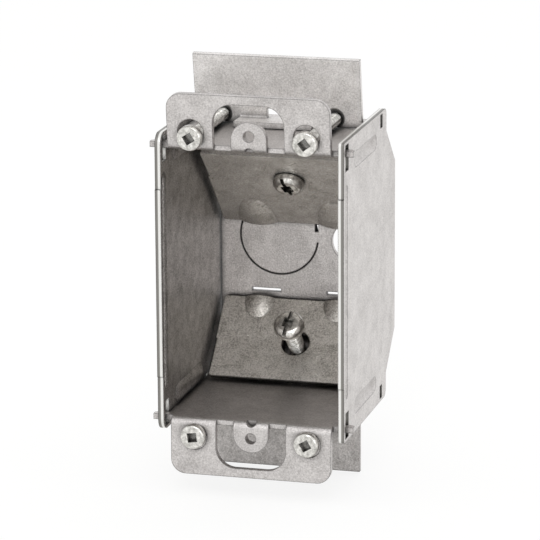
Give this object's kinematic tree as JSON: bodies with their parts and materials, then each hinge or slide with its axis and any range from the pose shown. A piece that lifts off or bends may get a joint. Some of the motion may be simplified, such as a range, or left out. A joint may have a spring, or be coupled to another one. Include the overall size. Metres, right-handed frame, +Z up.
{
  "type": "electrical switch box",
  "caption": "Sheet steel switch box for old work, with ears, screw-drawn wing plates, cable clamps and knockouts.",
  "frame": {"origin": "midway between the two device screw holes, on the front face of the lugs", "axes": "+X to the right, +Y into the wall, +Z up"},
  "size_m": [0.056, 0.0614, 0.1161],
  "materials": {
    "zinc_sheet": "galvanised sheet, mottled satin",
    "clamp_sheet": "galvanised sheet, mottled satin",
    "wing_sheet": "galvanised sheet, mottled satin",
    "clamp_screw": "bright zinc plate",
    "ear_screw": "bright zinc plate"
  },
  "bodies": {
    "shell": {"box_body": "zinc_sheet", "left_side": "zinc_sheet", "right_side": "zinc_sheet"},
    "upper_clamp": {"upper_clamp": "clamp_sheet"},
    "lower_clamp": {"lower_clamp": "clamp_sheet"},
    "upper_clamp_screw": {"upper_clamp_screw": "clamp_screw"},
    "lower_clamp_screw": {"lower_clamp_screw": "clamp_screw"},
    "upper_wing_plate": {"upper_wing_plate": "wing_sheet"},
    "lower_wing_plate": {"lower_wing_plate": "wing_sheet"},
    "ear_screw_upper_left": {"ear_screw_upper_left": "ear_screw"},
    "ear_screw_upper_right": {"ear_screw_upper_right": "ear_screw"},
    "ear_screw_lower_left": {"ear_screw_lower_left": "ear_screw"},
    "ear_screw_lower_right": {"ear_screw_lower_right": "ear_screw"}
  },
  "joints": [
    {"name": "upper_wing_slide", "type": "slide", "parent": "shell", "child": "upper_wing_plate", "axis": [0, -1, 0], "range_m": [0, 0.02]},
    {"name": "upper_left_screw_turn", "type": "hinge", "parent": "shell", "child": "ear_screw_upper_left", "pos_m": [-0.0158, 0, 0.0409], "axis": [0, 1, 0], "range_deg": [0, 9068]},
    {"name": "upper_right_screw_turn", "type": "hinge", "parent": "shell", "child": "ear_screw_upper_right", "pos_m": [0.0158, 0, 0.0409], "axis": [0, 1, 0], "range_deg": [0, 9068]},
    {"name": "lower_wing_slide", "type": "slide", "parent": "shell", "child": "lower_wing_plate", "axis": [0, -1, 0], "range_m": [0, 0.019]},
    {"name": "lower_left_screw_turn", "type": "hinge", "parent": "shell", "child": "ear_screw_lower_left", "pos_m": [-0.0158, 0, -0.0418], "axis": [0, 1, 0], "range_deg": [0, 8614.6]},
    {"name": "lower_right_screw_turn", "type": "hinge", "parent": "shell", "child": "ear_screw_lower_right", "pos_m": [0.0158, 0, -0.0418], "axis": [0, 1, 0], "range_deg": [0, 8614.6]},
    {"name": "upper_clamp_swing", "type": "hinge", "parent": "shell", "child": "upper_clamp", "pos_m": [0, 0.0564, 0.0056], "axis": [-1, 0, 0], "range_deg": [0, 15]},
    {"name": "upper_clamp_screw_slide", "type": "slide", "parent": "shell", "child": "upper_clamp_screw", "axis": [0, 0.7071, 0.7071], "range_m": [0, 0.0048]},
    {"name": "lower_clamp_screw_slide", "type": "slide", "parent": "shell", "child": "lower_clamp_screw", "axis": [0, 0.7071, -0.7071], "range_m": [0, 0.0045]},
    {"name": "lower_clamp_slide", "type": "slide", "parent": "shell", "child": "lower_clamp", "axis": [0, -0.7071, 0.7071], "range_m": [0, 0.0043]}
  ],
  "couplings": [
    {"joint": "upper_left_screw_turn", "follows": "upper_wing_slide", "rad_per_m": 7913.3},
    {"joint": "upper_right_screw_turn", "follows": "upper_wing_slide", "rad_per_m": 7913.3},
    {"joint": "lower_left_screw_turn", "follows": "lower_wing_slide", "rad_per_m": 7913.3},
    {"joint": "lower_right_screw_turn", "follows": "lower_wing_slide", "rad_per_m": 7913.3},
    {"joint": "upper_clamp_screw_slide", "follows": "upper_clamp_swing", "m_per_rad": 0.0178}
  ]
}
